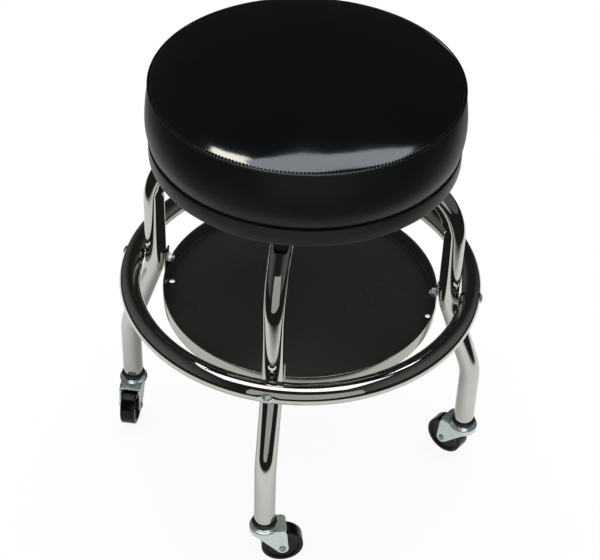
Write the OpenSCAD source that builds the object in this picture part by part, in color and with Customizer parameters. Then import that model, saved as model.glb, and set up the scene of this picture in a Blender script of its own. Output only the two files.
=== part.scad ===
/* [Seat] */
// Outer diameter of the trim band round the seat board
band_d = 356; // [320:2:400]
// Height of the trim band
band_h = 20; // [12:1:26]
// Sheet thickness of the trim band
band_t = 1.5; // [0.8:0.1:2.5]
// Thickness of the seat board
board_t = 12; // [9:1:16]
// How far the cushion bulges past the trim band
side_bulge = 2.7; // [0:0.1:6]
// Height of the fattest part of the cushion above the board
bulge_rise = 26; // [15:1:40]
// How far the foot of the cushion is tucked in behind the trim band
tuck_in = 4; // [1:0.5:8]
// Height of the sewn edge above the board
seam_rise = 70.7; // [50:0.1:95]
// How far the sewn edge is drawn in from the trim band
seam_draw = 2.2; // [0:0.1:12]
// Rise of the crown of the seat top above the sewn edge
crown_h = 18; // [8:1:30]
// Thickness of the cover
cover_t = 1.4; // [1:0.1:2.5]

/* [Seat swivel] */
// Width of the square swivel base plate
base_plate_w = 172; // [160:2:190]
// Width of the square swivel top plate
top_plate_w = 124; // [116:2:150]
// Corner radius of the swivel base plate
base_corner_r = 20; // [12:1:24]
// Corner radius of the swivel top plate
top_corner_r = 14; // [8:1:18]
// Thickness of both swivel plates
plate_t = 3; // [2:0.5:4]
// Height of the ball race between the plates
race_h = 7; // [6:0.5:10]
// Inner diameter of the ball race
race_id = 68; // [66:1:72]
// Radial width of the ball race
race_w = 12; // [6:1:13]
// Diameter of the king bolt
king_d = 12; // [8:1:16]
// Diameter of the round head of the king bolt
king_head_d = 20; // [16:1:26]
// Distance of the seat screws from both centre lines
seat_screw_at = 38; // [37:1:39]

/* [Legs] */
// Outside diameter of the leg tube
leg_d = 25.4; // [22:0.2:28]
// Wall of the leg tube
leg_wall = 1.5; // [1:0.1:2.5]
// Height of the middle of the tubes under the seat
leg_top_z = 440; // [400:0.1:480]
// Distance of the upper run of each leg from the middle
leg_upper_r = 180.2; // [172:0.1:188]
// Distance of the lower run of each leg from the middle
leg_lower_r = 217.5; // [205:0.5:225]
// Radius of the bend under the seat
top_bend_r = 85; // [60:1:86]
// Radius of the two bends of the splay
splay_bend_r = 90; // [50:1:100]
// Angle of the splayed run to the upright
splay_angle = 19; // [16:1:28]
// Height over which the splay starts above the foot ring
splay_lead = 10; // [0:1:14]
// Gap between the tube ends at the middle
tube_end_gap = 4.9; // [2:0.1:6]
// Swelling of the tube wall in the bends
bend_swell = 0.08; // [0.06:0.01:0.2]

/* [Foot ring] */
// Outside diameter of the foot ring tube
ring_tube_d = 25.4; // [18:0.2:28]
// Wall of the foot ring tube
ring_wall = 2; // [1.5:0.1:3]
// Height of the middle of the foot ring
ring_z = 268.6; // [255:0.1:285]
// Depth of the flat pressed into the ring under each screw head
ring_flat = 1.2; // [0.4:0.1:1.4]

/* [Tray] */
// Depth of the tray floor below the middle of the foot ring
tray_drop = 33.7; // [28:0.1:38]
// Height of the tray wall
tray_h = 21.4; // [16:0.2:24]
// Sheet thickness of the tray
tray_t = 1.4; // [0.8:0.1:2]
// Outside radius of the rounded foot of the tray wall
tray_foot_r = 4; // [3:0.5:7]
// Thickness of the black liner
liner_t = 1.2; // [0.8:0.1:2]
// Step of the liner below the rim
liner_step = 0.6; // [0.2:0.1:2]
// Width of each fixing tab
tab_w = 24; // [18:1:28]
// Height of each tab above the screw
tab_rise = 12; // [9:1:16]
// Diameter of the two holes through the floor
drain_d = 7.4; // [4:0.2:9]
// Distance of the floor holes in from the tray's outside
drain_in = 8.2; // [8:0.1:30]
// Distance of the floor holes in front of the leg line
drain_ahead = 8; // [0:1:20]

/* [Fasteners] */
// Diameter of the screws and bolts of the frame
bolt_d = 6; // [5:0.5:7]
// Diameter of the domed heads
bolt_head_d = 15; // [12:0.5:16]
// Height of the domed heads
bolt_head_h = 3.8; // [2:0.1:5]
// Width of the nuts across the flats
nut_w = 10; // [9:0.5:11]
// Height of the nuts
nut_h = 5; // [3:0.5:5]
// Outer diameter of the washers
washer_d = 13; // [12:0.5:16]
// Thickness of the washers
washer_t = 1.2; // [0.6:0.1:2]
// Distance of the inner leg bolts from the middle
leg_bolt_in = 27; // [25:0.5:27]
// Distance of the outer leg bolts from the middle
leg_bolt_out = 72; // [70:0.5:76]

/* [Casters] */
// Diameter of the wheels
wheel_d = 50.8; // [44:0.2:56]
// Width of the tread
wheel_w = 19; // [14:0.5:22]
// Width of the wheel hub
hub_w = 23; // [20:0.1:25]
// Diameter of the wheel hub
hub_d = 15; // [11:0.5:20]
// Rounding of the tread edges
tread_round = 2; // [1:0.5:5]
// Diameter of the axle
axle_d = 6; // [4:0.5:8]
// Distance of the axle behind the swivel
trail = 21.6; // [18:0.2:25]
// Sheet thickness of the fork
fork_t = 2; // [1.5:0.1:2.5]
// Height of the fork above the axle
fork_rise = 31.6; // [29:0.1:36]
// Outer diameter of the round front of the fork
fork_round_d = 36; // [33:0.5:38]
// Reach of the fork plate behind the swivel
fork_reach = 26.2; // [24:0.1:30]
// Radius of the fork cheeks round the axle
cheek_r = 7; // [5:0.5:9]
// Diameter of the swivel stem
stem_d = 10; // [8:0.5:11]
// Length of the stem inside the leg
stem_in = 26; // [16:1:30]
// Height of the race cover between the fork and the collar
cover_h = 5.4; // [4:0.1:12]
// Diameter of the socket collar below each leg
collar_d = 30; // [28:0.5:34]
// Height of the socket collar
collar_h = 3.5; // [2:0.5:6]
// Length of the socket plug inside the leg
plug_l = 32; // [20:1:45]
// Swivel of the front caster
turn_front = 16; // [0:1:359]
// Swivel of the right caster
turn_right = 149; // [0:1:359]
// Swivel of the back caster
turn_back = 200; // [0:1:359]
// Swivel of the left caster
turn_left = 272; // [0:1:359]

/* [Fits] */
// Radial clearance of turning shafts
shaft_fit = 0.06; // [0.02:0.01:0.1]
// Radial clearance of bolts in their holes
bolt_fit = 0.15; // [0.05:0.05:0.4]
// Gap between pieces that turn past each other
run_gap = 0.3; // [0.2:0.05:0.6]
// Gap between pieces that are screwed together but curved
seat_gap = 0.1; // [0.05:0.05:0.3]
// Gap between the leg tubes and the ring or the tray
tube_gap = 0.2; // [0.1:0.05:0.5]

/* [Hidden] */
$fn = 96;
eps = 0.01;

chrome_c = [0.78, 0.78, 0.76];
zinc_c = [0.66, 0.71, 0.72];
black_c = [0.10, 0.10, 0.10];
vinyl_c = [0.07, 0.08, 0.08];
band_c = [0.20, 0.20, 0.19];
ply_c = [0.07, 0.06, 0.05];
foam_c = [0.85, 0.82, 0.70];

// Directions of the four legs, seen from above: front is the near side
at_front = -90;
at_right = 0;
at_back = 90;
at_left = 180;
leg_angles = [at_front, at_right, at_back, at_left];

// Legs
leg_r = leg_d / 2;
leg_bore = leg_r - leg_wall;
leg_in_r = leg_r + tube_end_gap;
bend_lap = 0.4;
top_bend_z = leg_top_z - top_bend_r;
splay_top_z = ring_z + splay_lead;
splay_out = leg_lower_r - leg_upper_r;
splay_run = (splay_out - 2 * splay_bend_r * (1 - cos(splay_angle))) / sin(splay_angle);
splay_fall = 2 * splay_bend_r * sin(splay_angle) + splay_run * cos(splay_angle);
splay_end_z = splay_top_z - splay_fall;

// Foot ring, which stands just clear of the bend of the legs
ring_tube_r = ring_tube_d / 2;
ring_push = splay_lead * splay_lead / (2 * (splay_bend_r - leg_r - ring_tube_r));
ring_r = leg_upper_r + leg_r + ring_tube_r + ring_push + tube_gap;
screw_seat_r = ring_r + ring_tube_r - ring_flat;

// Tray, whose tabs lie against the inner side of the legs
tray_r = leg_upper_r - leg_r - tube_gap;
tray_z = ring_z - tray_drop;
tray_rim_z = tray_z + tray_h;
tab_in_r = tray_r - tray_t;
drain_r = tray_r - drain_in;
washer_in_r = tab_in_r - washer_t;
nut_in_r = washer_in_r - nut_h;
screw_tip = 2.5;
screw_in_r = nut_in_r - screw_tip;

// Swivel and seat, stacked up from the tubes
base_z = leg_top_z + leg_r + seat_gap;
race_z = base_z + plate_t;
top_plate_z = race_z + race_h + run_gap;
board_z = top_plate_z + plate_t;
cushion_z = board_z + board_t;
band_r = band_d / 2;
board_r = band_r - band_t;
band_step = 0.3;
band_z = cushion_z - band_step - band_h;
seam_z = cushion_z + seam_rise;
seam_r = band_r - seam_draw;
bulge_r = band_r + side_bulge;
foot_r = band_r - tuck_in;
king_washer_d = king_d + washer_d;
king_hole = king_washer_d + 6;
leg_bolt_tip = 1;
race_or = race_id / 2 + race_w;

// Casters, measured from the floor
wheel_r = wheel_d / 2;
fork_top_z = wheel_r + fork_rise;
race_low_z = fork_top_z + run_gap;
collar_z = race_low_z + cover_h;
leg_end_z = collar_z + collar_h;
cheek_in = hub_w / 2 + run_gap;
cheek_out = cheek_in + fork_t;
fork_r = fork_round_d / 2;
nose_in = 0.5;
nose_lap = 0.8;
nose_x = sqrt(fork_r * fork_r - cheek_out * cheek_out) - nose_in;
skirt_h = 6.5;
stem_head_r = 8;
stem_head_h = 2.4;

// Turns a shape drawn for the right leg to each leg
module each_leg() {
    for (a = leg_angles) {
        rotate([0, 0, a]) children();
    }
}

// Cross-section of the leg tube, a little swollen in the bends
module leg_section(swell = 0) {
    difference() {
        circle(r = leg_r + swell);
        circle(r = leg_bore - swell);
    }
}

// A straight run up from here that laps into the bends, with what follows at its far end
module tube_run(length, lap_low = bend_lap, lap_high = bend_lap) {
    translate([0, 0, -lap_low])
        linear_extrude(height = length + lap_low + lap_high) leg_section();
    translate([0, 0, length]) children();
}

// A bend toward -X from here, with what follows at its far end
module tube_bend(radius, angle) {
    translate([-radius, 0, 0]) {
        rotate([90, 0, 0]) rotate_extrude(angle = angle)
            translate([radius, 0]) leg_section(bend_swell);
        rotate([0, -angle, 0]) translate([radius, 0, 0]) children();
    }
}

// One leg in the plane of the right leg, from the floor end up and in under the seat
module leg_path() {
    translate([leg_lower_r, 0, leg_end_z])
        tube_run(splay_end_z - leg_end_z, 0)
        tube_bend(splay_bend_r, splay_angle)
        tube_run(splay_run)
        rotate([0, 0, 180]) tube_bend(splay_bend_r, splay_angle)
        rotate([0, 0, 180]) tube_run(top_bend_z - splay_top_z)
        tube_bend(top_bend_r, 90)
        tube_run(leg_upper_r - top_bend_r - leg_in_r, bend_lap, 0);
}

module leg_tube() {
    difference() {
        leg_path();
        // hole for the ring screw
        translate([0, 0, ring_z]) rotate([0, 90, 0])
            cylinder(d = bolt_d + 2 * bolt_fit, h = leg_upper_r + 2 * leg_r);
        // holes for the bolts up into the swivel base
        for (r = [leg_bolt_in, leg_bolt_out]) {
            translate([r, 0, leg_top_z - leg_d])
                cylinder(d = bolt_d + 2 * bolt_fit, h = 2 * leg_d);
        }
    }
}

module leg_front() {
    color(chrome_c) rotate([0, 0, at_front]) leg_tube();
}

module leg_right() {
    color(chrome_c) rotate([0, 0, at_right]) leg_tube();
}

module leg_back() {
    color(chrome_c) rotate([0, 0, at_back]) leg_tube();
}

module leg_left() {
    color(chrome_c) rotate([0, 0, at_left]) leg_tube();
}

// A foot ring bent from tube, drilled and pressed flat at each leg
module foot_ring() {
    color(chrome_c)
        difference() {
            translate([0, 0, ring_z]) rotate_extrude($fn = 192) translate([ring_r, 0])
                difference() {
                    circle(r = ring_tube_r);
                    circle(r = ring_tube_r - ring_wall);
                }
            each_leg() {
                translate([ring_r - ring_tube_d, 0, ring_z]) rotate([0, 90, 0])
                    cylinder(d = bolt_d + 2 * bolt_fit, h = 2 * ring_tube_d);
                translate([screw_seat_r, 0, ring_z]) rotate([0, 90, 0])
                    cylinder(d = bolt_head_d + 4, h = ring_tube_d);
            }
        }
}

// A domed head with a cross recess, its seat at z = 0 and its dome upward
module domed_head(d, h) {
    ball = (d * d / 4 + h * h) / (2 * h);
    difference() {
        intersection() {
            translate([0, 0, h - ball]) sphere(r = ball);
            cylinder(d = d + 2, h = h + 1);
        }
        for (a = [0, 90]) {
            rotate([0, 0, a]) translate([-d * 0.24, -d * 0.05, h * 0.55])
                cube([d * 0.48, d * 0.1, h]);
        }
    }
}

module hex_nut(w, h, hole) {
    difference() {
        cylinder(d = w / cos(30), h = h, $fn = 6);
        translate([0, 0, -1]) cylinder(d = hole, h = h + 2);
    }
}

module ring_screws() {
    color(zinc_c)
        each_leg() {
            translate([screw_seat_r, 0, ring_z]) rotate([0, 90, 0])
                union() {
                    domed_head(bolt_head_d, bolt_head_h);
                    translate([0, 0, screw_in_r - screw_seat_r])
                        cylinder(d = bolt_d, h = screw_seat_r - screw_in_r + 0.5);
                }
        }
}

module ring_washers() {
    color(zinc_c)
        each_leg() {
            translate([washer_in_r, 0, ring_z]) rotate([0, 90, 0])
                difference() {
                    cylinder(d = washer_d, h = washer_t);
                    translate([0, 0, -1]) cylinder(d = bolt_d, h = washer_t + 2);
                }
        }
}

module ring_nuts() {
    color(zinc_c)
        each_leg() {
            translate([nut_in_r, 0, ring_z]) rotate([0, 90, 0])
                hex_nut(nut_w, nut_h, bolt_d);
        }
}

// Outline of a dish wall with a rounded foot: radius, floor height, foot radius
function foot_arc(r, z, f, n) = [
    for (i = [0 : n])
        [r - f + f * sin(90 * i / n), z + f - f * cos(90 * i / n)]
];

module tab_outline() {
    corner = tab_w / 4;
    top = tab_rise;
    low = tray_rim_z - ring_z - tray_h / 3;
    translate([-tab_w / 2, low]) square([tab_w, top - corner - low]);
    translate([-tab_w / 2 + corner, top - corner - eps]) square([tab_w - 2 * corner, corner + eps]);
    for (s = [-1, 1]) {
        translate([s * (tab_w / 2 - corner), top - corner]) circle(r = corner);
    }
}

module drain_holes() {
    for (s = [-1, 1]) {
        translate([s * drain_r, -drain_ahead, tray_z - 1])
            cylinder(d = drain_d, h = tray_t + liner_t + 2);
    }
}

// A shallow pressed dish with four tabs standing up against the legs
module tray() {
    color(chrome_c)
        difference() {
            union() {
                rotate_extrude($fn = 192)
                    polygon(concat(
                        [[0, tray_z]],
                        foot_arc(tray_r, tray_z, tray_foot_r, 8),
                        [[tray_r, tray_rim_z], [tray_r - tray_t, tray_rim_z]],
                        [for (i = [8 : -1 : 0])
                            foot_arc(tray_r - tray_t, tray_z + tray_t, tray_foot_r - tray_t, 8)[i]],
                        [[0, tray_z + tray_t]]
                    ));
                each_leg() {
                    translate([tab_in_r, 0, ring_z]) rotate([90, 0, 90])
                        linear_extrude(height = tray_t) tab_outline();
                }
            }
            drain_holes();
            each_leg() {
                translate([tab_in_r - tray_t, 0, ring_z]) rotate([0, 90, 0])
                    cylinder(d = bolt_d + 2 * bolt_fit, h = 3 * tray_t);
            }
        }
}

module tray_liner() {
    out_r = tab_in_r - seat_gap / 2;
    in_f = tray_foot_r - tray_t;
    color(black_c)
        difference() {
            rotate_extrude($fn = 192)
                polygon(concat(
                    [[0, tray_z + tray_t]],
                    foot_arc(out_r, tray_z + tray_t, in_f, 8),
                    [[out_r, tray_rim_z - liner_step], [out_r - liner_t, tray_rim_z - liner_step]],
                    [for (i = [8 : -1 : 0])
                        foot_arc(out_r - liner_t, tray_z + tray_t + liner_t, in_f - liner_t, 8)[i]],
                    [[0, tray_z + tray_t + liner_t]]
                ));
            drain_holes();
        }
}

// Bolts that hold the tubes up against the swivel base
module leg_bolts() {
    color(zinc_c)
        each_leg() {
            for (r = [leg_bolt_in, leg_bolt_out]) {
                translate([r, 0, leg_top_z - leg_r - seat_gap]) rotate([180, 0, 0])
                    domed_head(bolt_head_d, bolt_head_h);
                translate([r, 0, leg_top_z - leg_r - seat_gap - 0.5])
                    cylinder(d = bolt_d, h = race_z + nut_h + leg_bolt_tip - leg_top_z + leg_r + seat_gap + 0.5);
            }
        }
}

module leg_nuts() {
    color(zinc_c)
        each_leg() {
            for (r = [leg_bolt_in, leg_bolt_out]) {
                translate([r, 0, race_z]) hex_nut(nut_w, nut_h, bolt_d);
            }
        }
}

// A square plate with rounded corners
module plate_outline(w, corner) {
    square([w, w - 2 * corner], center = true);
    square([w - 2 * corner, w], center = true);
    for (x = [-1, 1], y = [-1, 1]) {
        translate([x * (w / 2 - corner), y * (w / 2 - corner)]) circle(r = corner);
    }
}

module swivel_base() {
    color(zinc_c)
        difference() {
            translate([0, 0, base_z]) linear_extrude(height = plate_t)
                plate_outline(base_plate_w, base_corner_r);
            translate([0, 0, base_z - 1]) cylinder(d = king_d, h = plate_t + 2);
            each_leg() {
                for (r = [leg_bolt_in, leg_bolt_out]) {
                    translate([r, 0, base_z - 1])
                        cylinder(d = bolt_d + 2 * bolt_fit, h = plate_t + 2);
                }
            }
        }
}

// The sealed ring of balls between the plates
module swivel_race() {
    race_in = race_id / 2;
    race_out = race_in + race_w;
    notch = race_w / 6;
    color(zinc_c)
        rotate_extrude($fn = 192)
            polygon([
                [race_in, race_z],
                [race_out, race_z],
                [race_out, race_z + race_h * 0.38],
                [race_out - notch, race_z + race_h * 0.45],
                [race_out - notch, race_z + race_h * 0.55],
                [race_out, race_z + race_h * 0.62],
                [race_out, race_z + race_h],
                [race_in, race_z + race_h]
            ]);
}

module king_bolt() {
    head_h = 4;
    top = board_z + run_gap + washer_t + nut_h;
    color(zinc_c) {
        translate([0, 0, base_z - head_h]) cylinder(d = king_head_d, h = head_h);
        translate([0, 0, base_z - 1]) cylinder(d = king_d, h = top - base_z + 2);
    }
}

module king_washer() {
    color(zinc_c)
        translate([0, 0, board_z + run_gap])
            difference() {
                cylinder(d = king_washer_d, h = washer_t);
                translate([0, 0, -1]) cylinder(d = king_d, h = washer_t + 2);
            }
}

module king_nut() {
    color(zinc_c)
        translate([0, 0, board_z + run_gap + washer_t])
            hex_nut(king_d + nut_w - 3, nut_h, king_d);
}

module swivel_top() {
    color(zinc_c)
        difference() {
            translate([0, 0, top_plate_z]) linear_extrude(height = plate_t)
                plate_outline(top_plate_w, top_corner_r);
            translate([0, 0, top_plate_z - 1])
                cylinder(d = king_d + 2 * shaft_fit, h = plate_t + 2);
            seat_screw_places() translate([0, 0, -1]) cylinder(d = screw_d, h = plate_t + 2);
        }
}

screw_d = 4.5;
screw_head_d = 8.6;
screw_head_h = 2.2;
screw_bite = 8;

module seat_screw_places() {
    for (x = [-1, 1], y = [-1, 1]) {
        translate([x * seat_screw_at, y * seat_screw_at, top_plate_z]) children();
    }
}

module seat_screws() {
    color(zinc_c)
        seat_screw_places()
            union() {
                rotate([180, 0, 0]) domed_head(screw_head_d, screw_head_h);
                translate([0, 0, -0.5]) cylinder(d = screw_d, h = plate_t + screw_bite + 0.5);
            }
}

// Plywood disc under the cushion, recessed for the king nut
module seat_board() {
    color(ply_c)
        difference() {
            translate([0, 0, board_z]) cylinder(r = board_r, h = board_t, $fn = 192);
            translate([0, 0, board_z - 1]) cylinder(d = king_hole, h = board_t + 2);
            seat_screw_places() cylinder(d = screw_d, h = plate_t + screw_bite);
        }
}

// Rolled metal band round the board, its lower edge turned in
module seat_band() {
    lip = 3;
    color(band_c)
        rotate_extrude($fn = 192)
            polygon([
                [band_r - lip, band_z],
                [band_r - band_t / 2, band_z],
                [band_r, band_z + band_t / 2],
                [band_r, band_z + band_h - band_t / 2],
                [band_r - band_t / 2, band_z + band_h],
                [band_r - band_t, band_z + band_h],
                [band_r - band_t, band_z + band_t],
                [band_r - lip, band_z + band_t]
            ]);
}

// Side of the cushion: tucked in at the foot, fullest low down, drawn in at the seam
side_n = 14;
function side_r(h) = h < bulge_rise
    ? foot_r + (bulge_r - foot_r) * pow(sin(90 * h / bulge_rise), 0.55)
    : seam_r + (bulge_r - seam_r) * cos(90 * (h - bulge_rise) / (seam_rise - bulge_rise));
function side_curve(off) = [
    for (i = [0 : side_n])
        let (h = seam_rise * pow(i / side_n, 1.35))
        [side_r(h) - off, cushion_z + h - (i == side_n ? off : 0)]
];

// Crown of the top, from the seam to the middle
crown_n = 16;
function crown_z(k) = crown_h * (1 - pow(k, 3));
function crown_curve(off) = [
    for (i = [0 : crown_n])
        let (k = 1 - i / crown_n)
        [(seam_r - off) * k, seam_z - off + crown_z(k)]
];

function reversed(list) = [for (i = [len(list) - 1 : -1 : 0]) list[i]];

// Sewn vinyl round the side
module seat_side() {
    color(vinyl_c)
        rotate_extrude($fn = 192)
            polygon(concat(side_curve(0), reversed(side_curve(cover_t))));
}

// Sewn vinyl panel over the top
module seat_top() {
    color(vinyl_c)
        rotate_extrude($fn = 192)
            polygon(concat(crown_curve(0), reversed(crown_curve(cover_t))));
}

// Foam that fills the cover
module seat_foam() {
    color(foam_c)
        rotate_extrude($fn = 192)
            polygon(concat(
                [[0, cushion_z]],
                side_curve(cover_t),
                [for (i = [1 : crown_n]) crown_curve(cover_t)[i]]
            ));
}

// Plug in the bottom of each leg, with the black collar that shows below the tube
module caster_sockets() {
    color(black_c)
        each_leg() {
            translate([leg_lower_r, 0, 0])
                difference() {
                    union() {
                        translate([0, 0, collar_z]) cylinder(d = collar_d, h = collar_h);
                        translate([0, 0, leg_end_z - 1]) cylinder(r = leg_bore - seat_gap / 2, h = plug_l + 1);
                    }
                    translate([0, 0, collar_z - 1])
                        cylinder(d = stem_d, h = collar_h + stem_in + 1.5);
                }
        }
}

// Stem of each caster, riveted over below the fork plate
module caster_stems() {
    color(zinc_c)
        each_leg() {
            translate([leg_lower_r, 0, 0]) {
                translate([0, 0, fork_top_z - fork_t - run_gap - stem_head_h])
                    cylinder(r = stem_head_r, h = stem_head_h);
                translate([0, 0, fork_top_z - fork_t - run_gap - 1])
                    cylinder(d = stem_d, h = leg_end_z + stem_in - fork_top_z + fork_t + run_gap + 1);
            }
        }
}

// Domed race cover in two steps between the fork and the collar
module caster_races() {
    h = cover_h;
    wide = fork_r - 0.6;
    color(zinc_c)
        each_leg() {
            translate([leg_lower_r, 0, race_low_z])
                rotate_extrude()
                    polygon([
                        [stem_d / 2, 0],
                        [wide, 0],
                        [wide, h * 0.16],
                        [wide - 0.8, h * 0.28],
                        [wide - 2, h * 0.34],
                        [wide - 2.2, h * 0.52],
                        [wide - 2.8, h * 0.68],
                        [wide - 4, h * 0.82],
                        [wide - 6, h * 0.93],
                        [wide - 7, h],
                        [stem_d / 2, h]
                    ]);
        }
}

// Places a caster piece drawn with the swivel at the middle and the wheel toward +X
module at_caster(leg_at, turn) {
    rotate([0, 0, leg_at]) translate([leg_lower_r, 0, 0]) rotate([0, 0, turn - leg_at]) children();
}

// The front edge of each cheek runs straight on from the skirt of the nose
module cheek_outline() {
    top = fork_top_z - wheel_r;
    skirt_z = top - skirt_h;
    tilt = atan2(skirt_z, trail + nose_x) + asin(cheek_r / norm([trail + nose_x, skirt_z]));
    translate([trail, 0]) circle(r = cheek_r);
    polygon([
        [trail + cheek_r, 0],
        [fork_reach, top - 1],
        [fork_reach, top],
        [-nose_x, top],
        [-nose_x, skirt_z],
        [trail - cheek_r * sin(tilt), -cheek_r * cos(tilt)]
    ]);
}

// A pressed fork: round front with a skirt, flat top, two tapered cheeks
module fork() {
    difference() {
        union() {
            translate([0, 0, fork_top_z - fork_t])
                linear_extrude(height = fork_t)
                    union() {
                        circle(r = fork_r);
                        translate([0, -cheek_out]) square([fork_reach, 2 * cheek_out]);
                    }
            difference() {
                translate([0, 0, fork_top_z - skirt_h]) cylinder(r = fork_r, h = skirt_h);
                translate([0, 0, fork_top_z - skirt_h - 1]) cylinder(r = fork_r - fork_t, h = skirt_h + 2);
                translate([nose_lap - nose_x, -2 * fork_r, fork_top_z - skirt_h - 1])
                    cube([3 * fork_r, 4 * fork_r, skirt_h + 2]);
            }
            for (s = [-1, 1]) {
                translate([0, s > 0 ? cheek_out : -cheek_in, wheel_r]) rotate([90, 0, 0])
                    linear_extrude(height = fork_t) cheek_outline();
            }
        }
        translate([0, 0, fork_top_z - fork_t - 1]) cylinder(d = stem_d + 2 * shaft_fit, h = fork_t + 2);
        translate([trail, 2 * fork_r, wheel_r]) rotate([90, 0, 0]) cylinder(d = axle_d, h = 4 * fork_r);
    }
}

// A riveted axle with a low round head on each side
module axle() {
    head_h = 1.5;
    head_d = axle_d * 1.5;
    translate([trail, 0, wheel_r]) rotate([90, 0, 0]) {
        cylinder(d = axle_d, h = 2 * cheek_out, center = true);
        for (s = [0, 180]) {
            rotate([s, 0, 0]) translate([0, 0, cheek_out])
                rotate_extrude()
                    polygon([[0, -0.5], [axle_d / 2, -0.5], [axle_d / 2, 0], [head_d / 2, 0],
                        [head_d / 2, head_h * 0.5], [head_d / 2 - 0.8, head_h],
                        [axle_d / 4, head_h], [axle_d / 4, head_h * 0.5], [0, head_h * 0.5]]);
        }
    }
}

function round_corner(r, y, f, s, n) = [
    for (i = [0 : n])
        s > 0
        ? [r - f + f * cos(90 * i / n), y - f + f * sin(90 * i / n)]
        : [r - f + f * sin(90 * i / n), -y + f - f * cos(90 * i / n)]
];

// A hard black wheel with a rounded tread, dished sides and a hub
module wheel() {
    bore = axle_d / 2 + shaft_fit;
    half = wheel_w / 2;
    web = wheel_w / 2 - 2.5;
    rim_r = wheel_r - 5;
    translate([trail, 0, wheel_r]) rotate([90, 0, 0])
        rotate_extrude()
            polygon(concat(
                [[bore, -hub_w / 2], [hub_d / 2, -hub_w / 2], [hub_d / 2 + 0.5, -web],
                    [rim_r - 1, -web], [rim_r, -half]],
                round_corner(wheel_r, half, tread_round, -1, 6),
                round_corner(wheel_r, half, tread_round, 1, 6),
                [[rim_r, half], [rim_r - 1, web], [hub_d / 2 + 0.5, web],
                    [hub_d / 2, hub_w / 2], [bore, hub_w / 2]]
            ));
}

module fork_front() {
    color(zinc_c) at_caster(at_front, turn_front) fork();
}

module axle_front() {
    color(zinc_c) at_caster(at_front, turn_front) axle();
}

module wheel_front() {
    color(black_c) at_caster(at_front, turn_front) wheel();
}

module fork_right() {
    color(zinc_c) at_caster(at_right, turn_right) fork();
}

module axle_right() {
    color(zinc_c) at_caster(at_right, turn_right) axle();
}

module wheel_right() {
    color(black_c) at_caster(at_right, turn_right) wheel();
}

module fork_back() {
    color(zinc_c) at_caster(at_back, turn_back) fork();
}

module axle_back() {
    color(zinc_c) at_caster(at_back, turn_back) axle();
}

module wheel_back() {
    color(black_c) at_caster(at_back, turn_back) wheel();
}

module fork_left() {
    color(zinc_c) at_caster(at_left, turn_left) fork();
}

module axle_left() {
    color(zinc_c) at_caster(at_left, turn_left) axle();
}

module wheel_left() {
    color(black_c) at_caster(at_left, turn_left) wheel();
}

leg_front();
leg_right();
leg_back();
leg_left();
foot_ring();
ring_screws();
ring_washers();
ring_nuts();
tray();
tray_liner();
leg_bolts();
leg_nuts();
swivel_base();
swivel_race();
king_bolt();
king_washer();
king_nut();
caster_sockets();
caster_stems();
caster_races();
swivel_top();
seat_screws();
seat_board();
seat_band();
seat_foam();
seat_side();
seat_top();
fork_front();
axle_front();
wheel_front();
fork_right();
axle_right();
wheel_right();
fork_back();
axle_back();
wheel_back();
fork_left();
axle_left();
wheel_left();
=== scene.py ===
import bpy
import math
import random
from mathutils import Matrix, Vector, noise


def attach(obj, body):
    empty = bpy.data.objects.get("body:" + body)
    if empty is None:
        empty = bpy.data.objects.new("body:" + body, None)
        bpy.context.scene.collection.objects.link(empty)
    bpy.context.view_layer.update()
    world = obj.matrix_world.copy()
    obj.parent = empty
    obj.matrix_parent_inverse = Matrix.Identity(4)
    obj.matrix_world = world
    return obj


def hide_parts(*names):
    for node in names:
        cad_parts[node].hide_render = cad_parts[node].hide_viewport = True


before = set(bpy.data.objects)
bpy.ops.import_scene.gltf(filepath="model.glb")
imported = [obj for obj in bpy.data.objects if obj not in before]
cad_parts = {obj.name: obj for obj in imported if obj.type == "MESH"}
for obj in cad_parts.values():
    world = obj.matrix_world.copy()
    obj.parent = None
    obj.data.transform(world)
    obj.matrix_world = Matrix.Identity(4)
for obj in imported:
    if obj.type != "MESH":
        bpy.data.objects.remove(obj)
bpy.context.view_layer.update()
print("stage: frame loaded")

mm = 0.001
legAngles = {"front": -90, "right": 0, "back": 90, "left": 180}


# helpers that every piece uses

def linearColor(hexValue):
    parts = [int(hexValue[i:i + 2], 16) / 255 for i in (1, 3, 5)]
    return [c / 12.92 if c <= 0.04045 else ((c + 0.055) / 1.055) ** 2.4 for c in parts] + [1.0]


def addNode(tree, kind, values={}, links={}, **settings):
    node = tree.nodes.new(kind)
    for name, value in settings.items():
        setattr(node, name, value)
    for name, value in values.items():
        node.inputs[name].default_value = value
    for name, source in links.items():
        tree.links.new(source, node.inputs[name])
    return node


def newFinish(name):
    material = bpy.data.materials.new(name)
    material.use_nodes = True
    tree = material.node_tree
    tree.nodes.clear()
    shader = addNode(tree, "ShaderNodeBsdfPrincipled")
    addNode(tree, "ShaderNodeOutputMaterial", links={"Surface": shader.outputs["BSDF"]})
    where = addNode(tree, "ShaderNodeTexCoord").outputs["Object"]
    return material, tree, shader, where


def deselectAll():
    if bpy.context.object and bpy.context.object.mode != "OBJECT":
        bpy.ops.object.mode_set(mode="OBJECT")
    bpy.ops.object.select_all(action="DESELECT")


def grab(piece):
    deselectAll()
    piece.select_set(True)
    bpy.context.view_layer.objects.active = piece
    return piece


def applyPlace(piece):
    grab(piece)
    bpy.ops.object.transform_apply(location=True, rotation=True, scale=True)
    return piece


def applyModifier(piece, kind, **settings):
    grab(piece)
    modifier = piece.modifiers.new(kind.title(), kind)
    for name, value in settings.items():
        setattr(modifier, name, value)
    bpy.ops.object.modifier_apply(modifier=modifier.name)
    return piece


def smoothByAngle(piece, degrees=35):
    grab(piece)
    bpy.ops.object.shade_smooth_by_angle(angle=math.radians(degrees))
    return piece


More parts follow.
